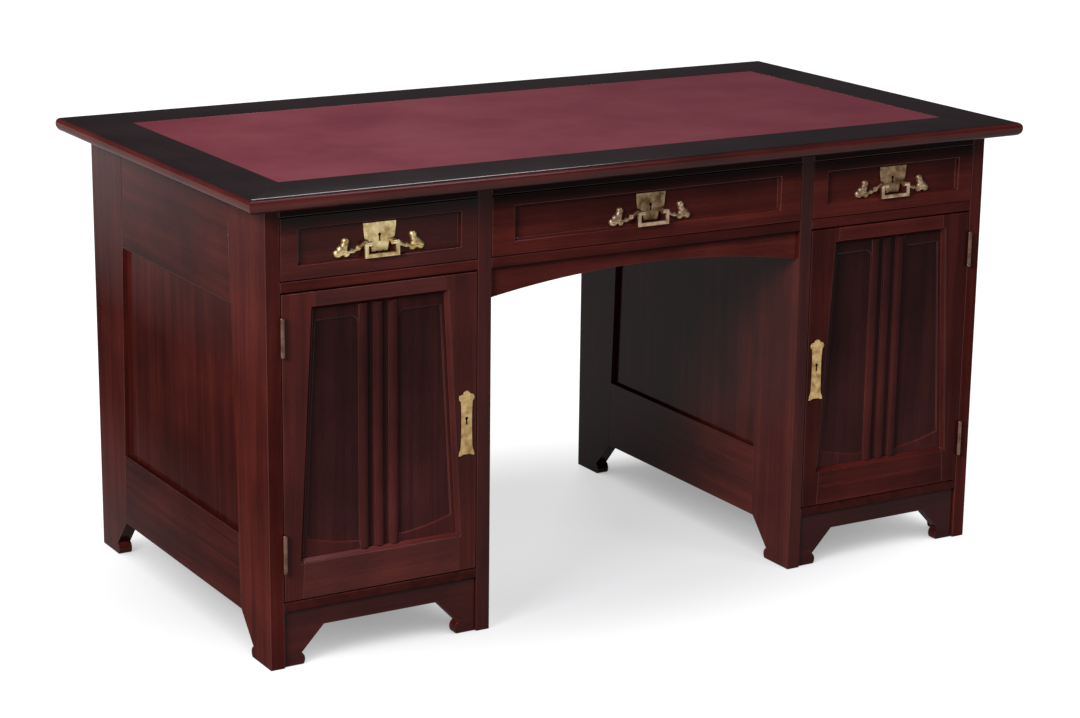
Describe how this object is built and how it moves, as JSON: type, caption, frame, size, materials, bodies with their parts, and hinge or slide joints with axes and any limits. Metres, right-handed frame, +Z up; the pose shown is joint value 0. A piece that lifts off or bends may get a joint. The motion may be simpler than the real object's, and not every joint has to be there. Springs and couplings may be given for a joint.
{
  "type": "pedestal writing desk",
  "caption": "Mahogany pedestal desk with a leather writing top, frieze drawers with bail pulls, tapered panelled cupboard doors with upright reeds, an arched kneehole and bracket feet.",
  "frame": {"origin": "on the floor under the middle of the desk", "axes": "X left to right seen from the front, -Y towards the person who sits at it, Z up"},
  "size_m": [1.504, 0.816, 0.78],
  "materials": {
    "mahogany": "french polished",
    "secondary_wood": "planed, raw",
    "leather": "aged, satin",
    "brass": "cast, worn",
    "lock_iron": "filed"
  },
  "bodies": {
    "carcass": {"arched_apron": "mahogany", "back_panels": "mahogany", "back_rails": "mahogany", "cupboard_floors": "mahogany", "cupboard_shelves": "mahogany", "drawer_rails": "mahogany", "drawer_runners": "secondary_wood", "hinge_frame_leaves": "brass", "hinge_pins": "brass", "kneehole_back_rail": "mahogany", "left_inner_frame": "mahogany", "left_inner_panel": "mahogany", "left_outer_frame": "mahogany", "left_outer_panel": "mahogany", "plinth_aprons": "mahogany", "right_inner_frame": "mahogany", "right_inner_panel": "mahogany", "right_outer_frame": "mahogany", "right_outer_panel": "mahogany", "shelf_cleats": "secondary_wood", "top_core": "secondary_wood", "top_end_borders": "mahogany", "top_long_borders": "mahogany", "top_rails": "mahogany", "writing_leather": "leather"},
    "left_drawer": {"left_drawer_front": "mahogany", "left_drawer_box": "secondary_wood", "left_drawer_lock_case": "lock_iron", "left_drawer_pull": "brass"},
    "left_bail": {"left_drawer_bail": "brass"},
    "left_drawer_bolt": {"left_drawer_bolt": "lock_iron"},
    "centre_drawer": {"centre_drawer_front": "mahogany", "centre_drawer_box": "secondary_wood", "centre_drawer_lock_case": "lock_iron", "centre_drawer_pull": "brass"},
    "centre_bail": {"centre_drawer_bail": "brass"},
    "centre_drawer_bolt": {"centre_drawer_bolt": "lock_iron"},
    "right_drawer": {"right_drawer_front": "mahogany", "right_drawer_box": "secondary_wood", "right_drawer_lock_case": "lock_iron", "right_drawer_pull": "brass"},
    "right_bail": {"right_drawer_bail": "brass"},
    "right_drawer_bolt": {"right_drawer_bolt": "lock_iron"},
    "left_door": {"left_door_stiles": "mahogany", "left_door_rails": "mahogany", "left_door_panel": "mahogany", "left_door_escutcheon": "brass", "left_door_lock_case": "lock_iron", "left_door_hinge_leaves": "brass"},
    "left_door_bolt": {"left_door_bolt": "lock_iron"},
    "right_door": {"right_door_stiles": "mahogany", "right_door_rails": "mahogany", "right_door_panel": "mahogany", "right_door_escutcheon": "brass", "right_door_lock_case": "lock_iron", "right_door_hinge_leaves": "brass"},
    "right_door_bolt": {"right_door_bolt": "lock_iron"}
  },
  "joints": [
    {"name": "left_drawer_slide", "type": "slide", "parent": "carcass", "child": "left_drawer", "axis": [0, -1, 0], "range_m": [0, 0.4]},
    {"name": "left_bail_swing", "type": "hinge", "parent": "left_drawer", "child": "left_bail", "pos_m": [-0.506, -0.364, 0.682], "axis": [-1, 0, 0], "range_deg": [0, 85]},
    {"name": "left_drawer_bolt_throw", "type": "slide", "parent": "left_drawer", "child": "left_drawer_bolt", "axis": [0, 0, 1], "range_m": [0, 0.008]},
    {"name": "centre_drawer_slide", "type": "slide", "parent": "carcass", "child": "centre_drawer", "axis": [0, -1, 0], "range_m": [0, 0.4]},
    {"name": "centre_bail_swing", "type": "hinge", "parent": "centre_drawer", "child": "centre_bail", "pos_m": [0, -0.364, 0.682], "axis": [-1, 0, 0], "range_deg": [0, 85]},
    {"name": "centre_drawer_bolt_throw", "type": "slide", "parent": "centre_drawer", "child": "centre_drawer_bolt", "axis": [0, 0, 1], "range_m": [0, 0.008]},
    {"name": "right_drawer_slide", "type": "slide", "parent": "carcass", "child": "right_drawer", "axis": [0, -1, 0], "range_m": [0, 0.4]},
    {"name": "right_bail_swing", "type": "hinge", "parent": "right_drawer", "child": "right_bail", "pos_m": [0.506, -0.364, 0.682], "axis": [-1, 0, 0], "range_deg": [0, 85]},
    {"name": "right_drawer_bolt_throw", "type": "slide", "parent": "right_drawer", "child": "right_drawer_bolt", "axis": [0, 0, 1], "range_m": [0, 0.008]},
    {"name": "left_door_swing", "type": "hinge", "parent": "carcass", "child": "left_door", "pos_m": [-0.68025, -0.3641, 0.364], "axis": [0, 0, -1], "range_deg": [0, 110]},
    {"name": "left_door_bolt_throw", "type": "slide", "parent": "left_door", "child": "left_door_bolt", "axis": [1, 0, 0], "range_m": [0, 0.008]},
    {"name": "right_door_swing", "type": "hinge", "parent": "carcass", "child": "right_door", "pos_m": [0.68025, -0.3641, 0.364], "axis": [0, 0, 1], "range_deg": [0, 110]},
    {"name": "right_door_bolt_throw", "type": "slide", "parent": "right_door", "child": "right_door_bolt", "axis": [-1, 0, 0], "range_m": [0, 0.008]}
  ]
}
